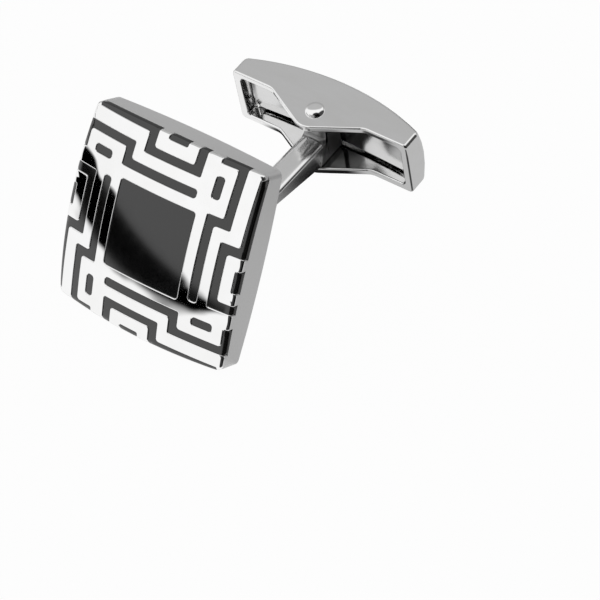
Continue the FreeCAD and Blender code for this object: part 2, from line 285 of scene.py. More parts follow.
def fret_cells():
    """The outlines of the fret's cells by name: a square in the middle and four of each kind round it."""
    centre_half = 3.66
    hook_line, shelf_line, key_line, drop_line = 0.71, 0.67, 0.66, 0.74
    rim_line, edge_line, dash_line = 0.5, 0.43, 0.68
    fold, tip, nose = 0.3, 0.25, 0.13
    edge_gap = 1.09
    beyond = 1.3 * FACE_HALF
    wall = (FACE_HALF - centre_half - hook_line - key_line - rim_line) / 3
    bar = centre_half + wall
    key_low = bar + hook_line + wall
    strip = FACE_HALF - rim_line
    shelf = key_low - 0.24
    dash_low = bar - 0.12
    hook_left = -centre_half - 0.34
    hook_right = centre_half - 0.39
    key_left = 1.38 - centre_half
    key_right = centre_half - 0.49
    key_start = 0.6 - FACE_HALF
    edge_left = key_left + drop_line + edge_gap
    edge_right = key_right - drop_line - edge_gap
    dash_left = wall - strip
    dash_right = hook_left - wall - 0.24
    kinds = {
        "hook": [(hook_right, bar, tip), (hook_right, bar + hook_line, tip),
                 (hook_left + hook_line, bar + hook_line, fold),
                 (hook_left + hook_line, shelf + shelf_line, nose),
                 (-beyond, shelf + shelf_line, 0), (-beyond, dash_low, 0), (-strip, dash_low, nose),
                 (-strip, shelf, fold), (hook_left, shelf, fold), (hook_left, bar, nose)],
        "key": [(key_start, beyond, 0), (key_start, strip, nose), (key_left, strip, fold),
                (key_left, key_low, nose), (key_right, key_low, nose), (key_right, beyond, 0),
                (key_right - drop_line, beyond, 0), (key_right - drop_line, key_low + key_line, fold),
                (key_left + drop_line, key_low + key_line, fold), (key_left + drop_line, beyond, 0)],
        "edge": [(edge_left, FACE_HALF - edge_line, nose), (edge_right, FACE_HALF - edge_line, nose),
                 (edge_right, beyond, 0), (edge_left, beyond, 0)],
        "dash": [(dash_left, dash_low, tip), (dash_right, dash_low, tip),
                 (dash_right, dash_low + dash_line, tip), (dash_left, dash_low + dash_line, tip)],
    }
    cells = {"centre": rounded([(-centre_half, -centre_half, tip), (centre_half, -centre_half, tip),
                                (centre_half, centre_half, tip), (-centre_half, centre_half, tip)])}
    for kind, corners in kinds.items():
        loop = rounded(corners)
        for turn, quarter in enumerate(("top", "left", "bottom", "right")):
            spun = [Matrix.Rotation(turn * math.pi / 2, 2) @ Vector(p) for p in loop]
            cells[kind + "_" + quarter] = [(p.x, p.y) for p in spun]
    return cells


def divided(outline, cells):
    """The border loops of the metal and of each cell, where the cells divide the plan of the face."""
    points, edges = [], []
    for loop in [outline] + list(cells.values()):
        first = len(points)
        points += [Vector(p) for p in loop]
        edges += [(first + i, first + (i + 1) % len(loop)) for i in range(len(loop))]
    out, _, triangles, _, _, _ = delaunay_2d_cdt(points, edges, [], WHOLE_HULL, 1e-5)
    reach = {name: [f(p[k] for p in loop) for k in (0, 1) for f in (min, max)]
             for name, loop in cells.items()}
    sides = {name: {} for name in ["metal"] + list(cells)}
    for triangle in triangles:
        a, b, c = (out[i] for i in triangle)
        if (b - a).cross(c - b) < 0:
            triangle = triangle[::-1]
        middle = (a + b + c) / 3
        if not inside(middle, [outline]):
            continue
        name = "metal"
        for cell, loop in cells.items():
            x0, x1, y0, y1 = reach[cell]
            if x0 < middle.x < x1 and y0 < middle.y < y1 and inside(middle, [loop]):
                name = cell
        for i in range(3):
            sides[name][triangle[i], triangle[(i + 1) % 3]] = True
    loops = {}
    for name, found in sides.items():
        follow = {a: b for a, b in found if (b, a) not in found}
        loops[name] = []
        while follow:
            start, here = follow.popitem()
            chain = [start]
            while here != start:
                chain.append(here)
                here = follow.pop(here)
            loops[name].append(eased([Vector(out[i]) for i in chain]))
    return loops


def eased(loop, radius=0.15):
    """A loop whose sharp corners, where a cell runs out through the rim, are rounded a little."""
    def turn(i):
        return (loop[i] - loop[i - 1]).angle(loop[(i + 1) % len(loop)] - loop[i])

    sharp = [i for i in range(len(loop)) if turn(i) > 0.7]
    crowded = {i for i in range(len(loop)) if i not in sharp
               and any((loop[i] - loop[k]).length < 1.8 * radius for k in sharp)}
    kept = [i for i in range(len(loop)) if i not in crowded]
    corners = [(loop[i].x, loop[i].y, radius if i in sharp else 0) for i in kept]
    return rounded(corners, spacing=9, turn_step=math.radians(24))


def dome_y(x, z, sink=0.0):
    """How far back the domed front lies, or a dome that is a depth below it."""
    return DOME_RADIUS - FRONT_THICKNESS - math.sqrt((DOME_RADIUS - sink) ** 2 - x * x - z * z)


def dome_normal(x, z):
    return Vector((x, -math.sqrt(DOME_RADIUS ** 2 - x * x - z * z), z)).normalized()


def on_rim(point):
    """Whether a point of a plan lies on the outline of the face."""
    return not inside((point[0] * 1.001, point[1] * 1.001), [outline])


def front(x, z, sink, reach, drop, away=None):
    """How far back the front lies at a place and its normal there: a dome that falls away at its rim."""
    level, upright = dome_y(x, z, sink), dome_normal(x, z)
    if max(abs(x), abs(z)) < FACE_HALF - SIDE_BOW - CORNER_RADIUS - reach:
        return level, upright
    sides = [(Vector(a), (Vector(a) - Vector(b)).orthogonal().normalized())
             for a, b in zip(outline, outline[1:] + outline[:1])]
    near, side = min((abs((Vector((x, z)) - a).dot(n)), i) for i, (a, n) in enumerate(sides))
    if near >= reach:
        return level, upright
    lean = 1 - near / reach
    rise = math.sqrt(1 - lean * lean)
    if away is None:
        n = sides[side][1] * math.copysign(1, sides[side][1].dot(Vector((x, z))))
        away = Vector((n.x, 0, n.y))
    return level + drop * (1 - rise), (away * lean * drop + upright * rise * reach).normalized()


def relief(skin, loops, sink, cell_edge, rim_edge, rim_drop, rim_room, depth, finishes, spacing):
    """A raised field of the front: its underside, the walls, their rounded edges and its top."""
    feet, tops, plans = [], [], []
    for loop in loops:
        steps = borders(loop)
        on_edge = [on_rim(p) for p in loop]
        cell_points = [Vector(p) for p, on in zip(loop, on_edge) if not on]
        rounds = [min([rim_edge] + [rim_room * (Vector(p) - q).length for q in cell_points])
                  if on else cell_edge for p, on in zip(loop, on_edge)]
        outward = outwards(loop)
        foot = [(p[0], dome_y(p[0], p[1], sink + depth), p[1]) for p in loop]
        feet.append(skin.ring(foot, [-dome_normal(p[0], p[1]) for p in loop]))
        ring = skin.ring(foot, outward)
        for k in range(EDGE_STEPS + 1):
            angle = math.pi / 2 * k / EDGE_STEPS
            across, upward = math.cos(angle), math.sin(angle)
            plan, places, normals = [], [], []
            for p, s, o, on, edge in zip(loop, steps, outward, on_edge, rounds):
                inset = edge * (1 - across)
                x, z = p[0] + s.x * inset, p[1] + s.y * inset
                y, normal = front(x, z, sink, rim_edge, rim_drop, o if on else None)
                plan.append((x, z))
                places.append((x, y if on else y + cell_edge * (1 - upward), z))
                normals.append(normal if on else o * across + normal * upward)
            following = skin.ring(places, normals)
            skin.band([ring, following], finishes[1] if k == 0 else finishes[0])
            ring = following
        tops.append(ring)
        plans.append(plan)

    def place(x, z):
        y, normal = front(x, z, sink, rim_edge, rim_drop)
        return (x, y, z), normal

    def under(x, z):
        return (x, dome_y(x, z, sink + depth), z), -dome_normal(x, z)

    skin.cover(tops, plans, place, spacing, finishes[0])
    skin.cover(feet, loops, under, HIDDEN_GRID, finishes[1])


def finish_nodes(material):
    """The node tree of a new material, its shader and the object's own coordinates in metres."""
    material.use_nodes = True
    nodes = material.node_tree.nodes
    return nodes, material.node_tree.links, nodes["Principled BSDF"], nodes.new("ShaderNodeTexCoord")


def node_with(nodes, kind, settings):
    """A new shader node of a kind, with its inputs set."""
    node = nodes.new("ShaderNode" + kind)
    for key, value in settings.items():
        node.inputs[key].default_value = value
    return node


def plated(name, tone, dull, grain, stretch_by, grain_depth, spread, sway=0.0):
    """Rhodium plate: a grey metal whose tone and polish vary with a fine grain, over the sway of buffing."""
    material = bpy.data.materials.new(name)
    nodes, links, shader, coordinates = finish_nodes(material)
    shader.inputs["Metallic"].default_value = 1.0
    mapping = node_with(nodes, "Mapping", {"Scale": stretch_by})
    texture = node_with(nodes, "TexNoise", {"Scale": grain, "Detail": 5.0, "Roughness": 0.6})
    tones = nodes.new("ShaderNodeValToRGB")
    tones.color_ramp.elements[0].position = 0.3
    tones.color_ramp.elements[1].position = 0.7
    tones.color_ramp.elements[0].color = (tone * 0.965, tone * 0.962, tone * 0.957, 1)
    tones.color_ramp.elements[1].color = (tone, tone, tone * 1.002, 1)
    polish = node_with(nodes, "MapRange", {"To Min": dull - spread, "To Max": dull + spread})
    relief_node = node_with(nodes, "Bump", {"Strength": 1.0, "Distance": grain_depth})
    links.new(coordinates.outputs["Object"], mapping.inputs["Vector"])
    links.new(mapping.outputs["Vector"], texture.inputs["Vector"])
    links.new(texture.outputs["Fac"], tones.inputs["Fac"])
    links.new(texture.outputs["Fac"], polish.inputs["Value"])
    links.new(texture.outputs["Fac"], relief_node.inputs["Height"])
    links.new(tones.outputs["Color"], shader.inputs["Base Color"])
    links.new(polish.outputs["Result"], shader.inputs["Roughness"])
    links.new(relief_node.outputs["Normal"], shader.inputs["Normal"])
    if sway:
        swell = node_with(nodes, "TexNoise", {"Scale": 260, "Detail": 1.0})
        swaying = node_with(nodes, "Bump", {"Strength": 1.0, "Distance": sway})
        links.new(coordinates.outputs["Object"], swell.inputs["Vector"])
        links.new(swell.outputs["Fac"], swaying.inputs["Height"])
        links.new(swaying.outputs["Normal"], relief_node.inputs["Normal"])
    return material


mirror_plate = plated("mirror_plate", tone=0.93, dull=0.035, grain=500, stretch_by=(1, 1, 1),
                      grain_depth=1.2e-7, spread=0.015, sway=8e-5)
satin_plate = plated("satin_plate", tone=0.78, dull=0.42, grain=1000, stretch_by=(0.6, 14, 0.6),
                     grain_depth=1.5e-6, spread=0.06)

outline = face_outline()
fret = divided(outline, fret_cells())
plate_skin = Skin()
relief(plate_skin, fret["metal"], sink=0.0, cell_edge=METAL_EDGE, rim_edge=RIM_EDGE, rim_drop=RIM_DROP,
       rim_room=RIM_ROOM, depth=CELL_DEPTH, finishes=(0, 1), spacing=FRONT_GRID)


def cell_floor(x, z):
    """A place on the body's front, which is the floor of the cells, and the normal there."""
    return (x, dome_y(x, z, CELL_DEPTH), z), dome_normal(x, z)


floor_edge = [(x, dome_y(x, z, CELL_DEPTH), z) for x, z in outline]
floor_ring = plate_skin.ring(floor_edge, [(0, -1, 0)] * len(outline))
plate_skin.cover([floor_ring], [outline], cell_floor, HIDDEN_GRID, 1)
rim_out = outwards(outline)
side_rings = [plate_skin.ring(floor_edge, rim_out)]
for share in (0.35, 0.7, 1.0):
    places = [(x, top + (-BACK_EDGE - top) * share, z) for x, top, z in floor_edge]
    side_rings.append(plate_skin.ring(places, rim_out))
for k in range(1, SMALL_EDGE_STEPS + 1):
    angle = math.pi / 2 * k / SMALL_EDGE_STEPS
    back_plan = moved(outline, BACK_EDGE * (1 - math.cos(angle)))
    places = [(x, -BACK_EDGE * (1 - math.sin(angle)), z) for x, z in back_plan]
    normals = [o * math.cos(angle) + Vector((0, math.sin(angle), 0)) for o in rim_out]
    side_rings.append(plate_skin.ring(places, normals))
plate_skin.band(side_rings, 1)

around = [2 * math.pi * k / ROUND_STEPS for k in range(ROUND_STEPS)]
socket_plan = [(SOCKET_RADIUS * math.cos(a), FOOT_LEVEL + SOCKET_RADIUS * math.sin(a)) for a in around]
socket_mouth = [(x, 0, z) for x, z in socket_plan]
socket_seat = [(x, -SOCKET_DEPTH, z) for x, z in socket_plan]
inward = [(-math.cos(a), 0, -math.sin(a)) for a in around]
backward = [(0, 1, 0)] * ROUND_STEPS
mouth_ring = plate_skin.ring(socket_mouth, backward)
plate_skin.cover([side_rings[-1], mouth_ring], [back_plan, socket_plan],
                 lambda x, z: ((x, 0, z), (0, 1, 0)), BACK_GRID, 1)
plate_skin.band([plate_skin.ring(socket_mouth, inward), plate_skin.ring(socket_seat, inward)], 1)
plate_skin.face(plate_skin.ring(socket_seat, backward), 1)

face_plate = plate_skin.build("plated_face", [mirror_plate, satin_plate])
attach(face_plate, "link")
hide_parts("face_plate")


# Enamel: dark resin run into each cell of the fret, cured, and polished just below the metal.
# The middle square is a little blacker than the narrow lines, most of which run out through the rim.

ENAMEL_SINK = 0.066
ENAMEL_EDGE = 0.035
ENAMEL_RIM = 0.44
ENAMEL_DROP = 0.14
ENAMEL_GAP = 0.006
ENAMEL_ROOM = 0.75
ENAMEL_GRID = 0.7
ENAMEL_IOR = 1.72


def enamel(name, tone, dull, ripple):
    """Resin enamel: nearly black, with cloudy pigment, a clear gloss and a faint ripple from polishing."""
    material = bpy.data.materials.new(name)
    nodes, links, shader, coordinates = finish_nodes(material)
    cloud = node_with(nodes, "TexNoise", {"Scale": 1500, "Detail": 4.0})
    pigment = nodes.new("ShaderNodeValToRGB")
    for element, share in zip(pigment.color_ramp.elements, (0.75, 1.25)):
        element.color = [channel * share for channel in tone] + [1]
    polish = node_with(nodes, "MapRange", {"To Min": dull * 0.8, "To Max": dull * 1.2})
    wave = node_with(nodes, "TexNoise", {"Scale": 420, "Detail": 2.0})
    relief_node = node_with(nodes, "Bump", {"Strength": 1.0, "Distance": ripple})
    links.new(coordinates.outputs["Object"], cloud.inputs["Vector"])
    links.new(coordinates.outputs["Object"], wave.inputs["Vector"])
    links.new(cloud.outputs["Fac"], pigment.inputs["Fac"])
    links.new(cloud.outputs["Fac"], polish.inputs["Value"])
    links.new(wave.outputs["Fac"], relief_node.inputs["Height"])
    links.new(pigment.outputs["Color"], shader.inputs["Base Color"])
    links.new(polish.outputs["Result"], shader.inputs["Roughness"])
    links.new(relief_node.outputs["Normal"], shader.inputs["Normal"])
    shader.inputs["IOR"].default_value = ENAMEL_IOR
    return material


line_enamel = enamel("line_enamel", tone=(0.0045, 0.0042, 0.004), dull=0.1, ripple=3e-7)
square_enamel = enamel("square_enamel", tone=(0.0035, 0.0035, 0.0037), dull=0.1, ripple=2e-7)

for cell, loops in fret.items():
    if cell == "metal":
        continue
    middle = cell == "centre"
    fill_skin = Skin()
    shrunk = [moved(loop, ENAMEL_GAP) for loop in loops]
    relief(fill_skin, shrunk, sink=ENAMEL_SINK, cell_edge=ENAMEL_EDGE, rim_edge=ENAMEL_RIM,
           rim_drop=ENAMEL_DROP, rim_room=ENAMEL_ROOM, depth=CELL_DEPTH - ENAMEL_SINK, finishes=(0, 0),
           spacing=ENAMEL_GRID)
    fill = fill_skin.build("enamel_" + cell, [square_enamel if middle else line_enamel])
    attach(fill, "link")
    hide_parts("inlay_" + cell)


# Arm: a curved bar of plated brass that leaves the plate square, bends up and widens to an eye.
# Its round foot sits in the plate's socket, with a fillet of braze between the foot and the bar.
# The eye is duller, because no polishing wheel reaches it between the ears, and its plate is painted darker
# as shade between the ears.

PIVOT = Vector((0, 18.14, 5.2))
TILT = math.radians(34.82)
ARM_HALF = 1.15
ARM_EDGE = 0.4
ARM_CROWN = 0.95
ROOT_HALF = 0.75
FOOT_RADIUS = 1.985
FOOT_FLANGE = 0.45
BRAZE = 0.5
EYE_HALF = 2.16
EYE_END = 1.25
EYE_CORNER = 0.15
EYE_STATIONS = 20
NECK_RADIUS = 0.3
HEEL_RADIUS = 2.0
FOOT_EDGE = 0.12
BEND_ROOM = 0.05
BEND_STEPS, TURN_STEPS, CORNER_TURNS = 18, 10, 4
ARM_COUNTS = (1, 4, 2, 3)
BAR_STEPS = 9
BRAZE_STEPS = 6


def from_pivot(away, across):
    """A point of the arm's side view, from the pivot along and across the toggle's tilt."""
    return Vector((PIVOT.y + away * math.cos(TILT) - across * math.sin(TILT),
                   PIVOT.z + away * math.sin(TILT) + across * math.cos(TILT)))


def bent(corners, counts):
    """Points and left-hand normals along an open line with rounded corners (point, radius, steps)."""
    stations = []
    last = corners[0][0]
    heading = (corners[1][0] - last).normalized()
    for i, (here, radius, steps) in enumerate(corners):
        if i in (0, len(corners) - 1):
            start = stop = here
            arc = [(here, heading)]
        else:
            leave = (corners[i + 1][0] - here).normalized()
            turn = heading.angle_signed(leave)
            reach = radius * math.tan(abs(turn) / 2)
            start = here - heading * reach
            arc = []
            for k in range(steps + 1):
                part = -turn * k / steps
                facing = Matrix.Rotation(part, 2) @ heading
                side = Vector((-heading.y, heading.x)) * math.copysign(1, -turn)
                swung = Matrix.Rotation(part, 2) @ side
                arc.append((start + side * radius - swung * radius, facing))
            stop = arc[-1][0]
        if i:
            for k in range(1, counts[i - 1]):
                stations.append((last.lerp(start, k / counts[i - 1]), heading))
        stations += arc
        last = stop
        heading = arc[-1][1]
    return [(p, Vector((-h.y, h.x))) for p, h in stations]


def bar_ring(top, top_out, low, low_out, half, edge, crown):
    """One ring round the bar, between a point of its upper line and one of its lower line, both crowned."""
    places, normals = [], []
    for side, point, out in ((1, low, low_out), (1, top, top_out), (-1, top, top_out), (-1, low, low_out)):
        rising = (point is low) == (side == 1)
        for k in range(BAR_STEPS + 1):
            angle = math.pi / 2 * (1 - k / BAR_STEPS if rising else k / BAR_STEPS)
            across, upward = math.cos(angle), math.sin(angle)
            spot = point - out * edge * (1 - upward)
            places.append((side * (half - crown * (1 - across)), spot.x, spot.y))
            normals.append((side * across * edge, out.x * upward * crown, out.y * upward * crown))
    return places, normals


low_level, top_level = FOOT_LEVEL - ROOT_HALF, FOOT_LEVEL + ROOT_HALF
straight = FOOT_FLANGE + BRAZE
neck_slope = TILT - math.radians(2.5)
waist = from_pivot(-8.0, 0.66)
top_bend = Vector((waist.x + (top_level - waist.y) / math.tan(neck_slope), top_level))
low_bend = Vector((4.55, low_level))
heel = from_pivot(-1.5, -EYE_HALF)
heel_slope = math.atan2(heel.y - low_bend.y, heel.x - low_bend.x)
neck = from_pivot(-0.75, 0.343)
upper = bent([(Vector((straight, top_level)), 0, 0),
              (top_bend, (top_bend.x - straight - BEND_ROOM) / math.tan(neck_slope / 2), BEND_STEPS),
              (neck, NECK_RADIUS, TURN_STEPS), (from_pivot(-0.62, EYE_HALF), EYE_CORNER, CORNER_TURNS),
              (from_pivot(EYE_END, EYE_HALF), 0, 0)], ARM_COUNTS)
lower = bent([(Vector((straight, low_level)), 0, 0),
              (low_bend, (low_bend.x - straight - BEND_ROOM) / math.tan(heel_slope / 2), BEND_STEPS),
              (heel, HEEL_RADIUS, TURN_STEPS),
              (from_pivot(-0.5, -EYE_HALF - 1e-4), EYE_CORNER, CORNER_TURNS),
              (from_pivot(EYE_END, -EYE_HALF), 0, 0)], ARM_COUNTS)


def root_ring(grow):
    """A ring round the bar where it stands on its foot, grown all round by the fillet of braze."""
    up, down = Vector((0, 1)), Vector((0, -1))
    return bar_ring(up * (ROOT_HALF + grow), up, down * (ROOT_HALF + grow), down,
                    ARM_HALF + grow, ARM_EDGE + grow, ARM_CROWN + grow)


arm_skin = Skin()
compass = [math.atan2(z, x) for x, _, z in root_ring(0)[0]]
disc = [Vector((math.cos(a), 0, math.sin(a))) for a in compass]
foot = Vector((0, 0, FOOT_LEVEL))
seat = [foot + d * FOOT_RADIUS - Vector((0, SOCKET_DEPTH, 0)) for d in disc]
arm_skin.face(arm_skin.ring(seat, [(0, -1, 0)] * len(seat)))
arm_rings = [arm_skin.ring(seat, disc)]
for k in range(SMALL_EDGE_STEPS + 1):
    angle = math.pi / 2 * k / SMALL_EDGE_STEPS
    reach = FOOT_RADIUS - FOOT_EDGE * (1 - math.cos(angle))
    rise = FOOT_FLANGE - FOOT_EDGE * (1 - math.sin(angle))
    places = [foot + d * reach + Vector((0, rise, 0)) for d in disc]
    normals = [d * math.cos(angle) + Vector((0, math.sin(angle), 0)) for d in disc]
    arm_rings.append(arm_skin.ring(places, normals))
for k in range(BRAZE_STEPS + 1):
    angle = math.pi / 2 * k / BRAZE_STEPS
    bar_places, bar_normals = root_ring(BRAZE * (1 - math.sin(angle)))
    rise = FOOT_FLANGE + BRAZE * (1 - math.cos(angle))
    places = [foot + Vector((x, rise, z)) for x, _, z in bar_places]
    normals = [Vector(n).normalized() * math.sin(angle) + Vector((0, math.cos(angle), 0))
               for n in bar_normals]
    arm_rings.append(arm_skin.ring(places, normals))
eye_start = len(arm_rings) + len(upper) - EYE_STATIONS
for (top, top_out), (low, low_out) in zip(upper, lower):
    places, normals = bar_ring(top, top_out, low, -low_out, ARM_HALF, ARM_EDGE, ARM_CROWN)
    arm_rings.append(arm_skin.ring(places, normals))
arm_skin.band(arm_rings[:eye_start + 1], 0)
arm_skin.band(arm_rings[eye_start:], 1)
end_out = (0, math.cos(TILT), math.sin(TILT))
end_ring = arm_skin.ring([arm_skin.points[i] for i in arm_rings[-1]], [end_out] * len(disc))
arm_skin.face(end_ring, 1)

arm_plate = plated("arm_plate", tone=0.88, dull=0.18, grain=900, stretch_by=(1, 0.3, 1),
                   grain_depth=1e-6, spread=0.04)
# Painted shade: the eye's low tone of 0.3 stands for the shade between the ears, and the higher roughness
# makes it duller.
eye_painted_shade = plated("eye_painted_shade", tone=0.3, dull=0.36, grain=900, stretch_by=(1, 1, 1),
                  grain_depth=4e-6, spread=0.06)
arm = arm_skin.build("curved_arm", [arm_plate, eye_painted_shade])
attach(arm, "link")
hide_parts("arm")


# Toggle: a hollow boat-shaped bar cast in brass and plated, open towards the face, with an ear on each
# side that the rivet goes through. Its outside is buffed, and the channel inside keeps the skin of the
# casting under the plate.

TOGGLE_HALF = 8.944
TOGGLE_SIDE = 2.89
CHANNEL_HALF = 8.2
CHANNEL_SIDE = 2.24
RIM_LEVEL = 0.3
SPINE_LEVEL = 3.78
SPINE_END = 2.13
SPINE_INSET = 0.06
SPINE_DROP = SPINE_LEVEL - SPINE_END
SPINE_RADIUS = ((TOGGLE_HALF - SPINE_INSET) ** 2 + SPINE_DROP ** 2) / (2 * SPINE_DROP)
SPINE_CROWN = 0.5
CROWN_RADIUS = (TOGGLE_SIDE ** 2 + SPINE_CROWN ** 2) / (2 * SPINE_CROWN)
FLOOR_WALL = 0.85
EAR_REACH = 4.75
EAR_SLOPE = math.radians(27)
EAR_TIP = 1.5
EAR_ROOT = 1.6
LIP_EDGE = 0.2
FLOOR_FILLET = 0.35
TOGGLE_CORNER = 0.42
CHANNEL_CORNER = 0.4
CROWN_EDGE = 0.31
CROWN_END_EDGE = 0.1
CROWN_GRID = 0.65
FLOOR_GRID = 0.7
STATIONS = [0, 0.23, 0.46, 0.69, 1.1, 1.6, 2.2, 2.9, 3.6, 4.1, 4.41, 4.6, 4.78, 4.96, 5.13,
            5.6, 6.2, 6.9, 7.6]
IN_TOGGLE = Matrix.Translation(PIVOT * MM) @ Matrix.Rotation(TILT, 4, "X")


def spine(u, w):
    """The level of the toggle's back and its normal, arched along and crowned across."""
    radius = SPINE_RADIUS + math.sqrt(CROWN_RADIUS ** 2 - w * w) - CROWN_RADIUS + SPINE_CROWN
    level = SPINE_LEVEL - SPINE_RADIUS + math.sqrt(radius ** 2 - u * u)
    fall = Vector((u / radius, math.sqrt(1 - (u / radius) ** 2), 0))
    return level, fall + Vector((0, 0, w / math.sqrt(CROWN_RADIUS ** 2 - w * w)))


def rim(u):
    """The level of the toggle's rim and its normal: flat at the ends, with an ear in the middle."""
    away = abs(u)
    tip_centre = RIM_LEVEL - EAR_REACH * math.tan(EAR_SLOPE) + EAR_TIP / math.cos(EAR_SLOPE)
    root_centre = EAR_REACH + EAR_ROOT * math.tan(EAR_SLOPE / 2)
    if away < EAR_TIP * math.sin(EAR_SLOPE):
        lean = away / EAR_TIP
        level = tip_centre - math.sqrt(EAR_TIP ** 2 - u * u)
        return level, Vector((u / EAR_TIP, -math.sqrt(1 - lean * lean), 0))
    if away < root_centre - EAR_ROOT * math.sin(EAR_SLOPE):
        level = RIM_LEVEL - (EAR_REACH - away) * math.tan(EAR_SLOPE)
        return level, Vector((math.copysign(math.sin(EAR_SLOPE), u), -math.cos(EAR_SLOPE), 0))
    if away < root_centre:
        lean = (root_centre - away) / EAR_ROOT
        rise = math.sqrt(1 - lean * lean)
        return RIM_LEVEL - EAR_ROOT * (1 - rise), Vector((math.copysign(lean, u), -rise, 0))
    return RIM_LEVEL, Vector((0, -1, 0))


def channel_floor(u):
    radius = SPINE_RADIUS - FLOOR_WALL
    return SPINE_LEVEL - SPINE_RADIUS + math.sqrt(radius ** 2 - u * u)


def boat_loop(half, side, corner):
    """A plan of the toggle, counter-clockwise from the rim: stations along both sides and round corners."""
    edge = [-u for u in STATIONS[:0:-1]] + STATIONS
    loop = [(u, -side) for u in edge]
    for sign in (1, -1):
        for first in (-math.pi / 2, 0) if sign == 1 else (math.pi / 2, math.pi):
            for k in range(EDGE_STEPS + 1):
                angle = first + math.pi / 2 * k / EDGE_STEPS
                across = -1 if (first == -math.pi / 2 or first == math.pi) else 1
                loop.append((sign * (half - corner) + corner * math.cos(angle),
                             across * (side - corner) + corner * math.sin(angle)))
            if first in (-math.pi / 2, math.pi / 2):
                loop += [(sign * half, sign * w * (side - corner)) for w in (-0.5, 0, 0.5)]
        if sign == 1:
            loop += [(u, side) for u in edge[::-1]]
    return loop


outer = boat_loop(TOGGLE_HALF, TOGGLE_SIDE, TOGGLE_CORNER)
inner = boat_loop(CHANNEL_HALF, CHANNEL_SIDE, CHANNEL_CORNER)
outer_steps, inner_steps = borders(outer), borders(inner)
outer_out, inner_out = outwards(outer), outwards(inner)
back_edge = [CROWN_EDGE + CROWN_END_EDGE * abs(o.x) for o in outer_out]

toggle_skin = Skin()
rings = []
for k in range(EDGE_STEPS + 1):
    angle = math.pi / 2 * (1 - k / EDGE_STEPS)
    plan, places, normals = [], [], []
    for p, s, o, edge in zip(outer, outer_steps, outer_out, back_edge):
        u = p[0] + s.x * edge * (1 - math.cos(angle))
        w = p[1] + s.y * edge * (1 - math.cos(angle))
        level, up = spine(u, w)
        plan.append((u, w))
        places.append((u, level - edge * (1 - math.sin(angle)), w))
        normals.append(o * math.cos(angle) + up.normalized() * math.sin(angle))
    rings.append(toggle_skin.ring(places, normals))
    if k == 0:
        crown_plan = plan


def crown_place(u, w):
    level, up = spine(u, w)
    return (u, level, w), up


def lip_ring(loop, angle, side):
    """A ring on a rounded edge of the rim: side is 1 on the outside and -1 in the channel."""
    places, normals = [], []
    for p, s, o in zip(loop, borders(loop), outwards(loop)):
        u = p[0] + side * s.x * LIP_EDGE * (1 - math.cos(angle))
        w = p[1] + side * s.y * LIP_EDGE * (1 - math.cos(angle))
        level, down = rim(u)
        places.append((u, level + LIP_EDGE * (1 - math.sin(angle)), w))
        normals.append(o * side * math.cos(angle) + down * math.sin(angle))
    return toggle_skin.ring(places, normals)


toggle_skin.cover([rings[0]], [crown_plan], crown_place, CROWN_GRID)
top_places = [toggle_skin.points[i] for i in rings[-1]]
for share in (0.33, 0.66):
    places = [(u, t.y + (rim(u)[0] + LIP_EDGE - t.y) * share, w) for (u, w), t in zip(outer, top_places)]
    rings.append(toggle_skin.ring(places, outer_out))
for k in range(SMALL_EDGE_STEPS + 1):
    rings.append(lip_ring(outer, math.pi / 2 * k / SMALL_EDGE_STEPS, 1))
for k in range(SMALL_EDGE_STEPS + 1):
    rings.append(lip_ring(inner, math.pi / 2 * (1 - k / SMALL_EDGE_STEPS), -1))
channel_start = len(rings) - 1
lip_places = [toggle_skin.points[i] for i in rings[-1]]
for share in (0.4, 0.8):
    places = [(u, t.y + (channel_floor(u) - FLOOR_FILLET - t.y) * share, w)
              for (u, w), t in zip(inner, lip_places)]
    rings.append(toggle_skin.ring(places, [-o for o in inner_out]))
for k in range(SMALL_EDGE_STEPS + 1):
    angle = math.pi / 2 * k / SMALL_EDGE_STEPS
    plan, places, normals = [], [], []
    for p, s, o in zip(inner, inner_steps, inner_out):
        inset = FLOOR_FILLET * (1 - math.cos(angle))
        u, w = p[0] + s.x * inset, p[1] + s.y * inset
        plan.append((u, w))
        places.append((u, channel_floor(u) - FLOOR_FILLET * (1 - math.sin(angle)), w))
        normals.append(Vector((0, -math.sin(angle), 0)) - o * math.cos(angle))
    rings.append(toggle_skin.ring(places, normals))
toggle_skin.band(rings[:channel_start + 1], 0)
toggle_skin.band(rings[channel_start:], 1)
toggle_skin.cover([rings[-1]], [plan], lambda u, w: ((u, channel_floor(u), w), (0, -1, 0)), FLOOR_GRID, 1)

buffed_plate = plated("buffed_plate", tone=0.86, dull=0.13, grain=900, stretch_by=(0.25, 1, 1),
                      grain_depth=8e-7, spread=0.04)
cast_plate = plated("cast_plate", tone=0.9, dull=0.09, grain=900, stretch_by=(1, 1, 1),
                    grain_depth=5e-6, spread=0.05, sway=1.2e-4)
toggle = toggle_skin.build("toggle_bar", [buffed_plate, cast_plate], IN_TOGGLE)
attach(toggle, "toggle")
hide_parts("toggle_shell")


# Rivet: a pin turned from brass rod and pushed through both ears and the eye. Each end is headed over to a
# low dome, which holds it in the ears. It is polished and plated, and the eye turns on it.

SHANK = 0.6
HEAD = 0.85
HEAD_RISE = 0.46
HEAD_STEPS = 13

